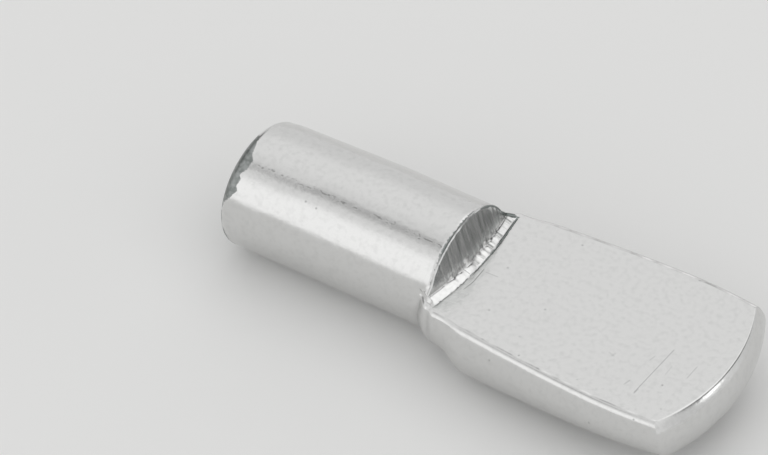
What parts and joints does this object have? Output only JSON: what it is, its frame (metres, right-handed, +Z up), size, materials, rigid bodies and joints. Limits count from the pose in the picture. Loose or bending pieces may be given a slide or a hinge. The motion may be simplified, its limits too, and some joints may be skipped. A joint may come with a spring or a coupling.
{
  "type": "shelf support pin",
  "caption": "Spoon shaped metal shelf support pin: a round shank for a hole in the cabinet's side and a flat pad that carries the shelf.",
  "frame": {"origin": "on the shank's axis where the neck starts, in the plane of the cabinet's side", "axes": "+X along the shank's axis from its free end towards the pad, +Z up out of the pad's flat face"},
  "size_m": [0.0202, 0.0076, 0.005],
  "materials": {
    "plated_steel": "bright plated, smooth, with fine forming marks"
  },
  "bodies": {
    "root": {"shelf_pin": "plated_steel"}
  },
  "joints": []
}
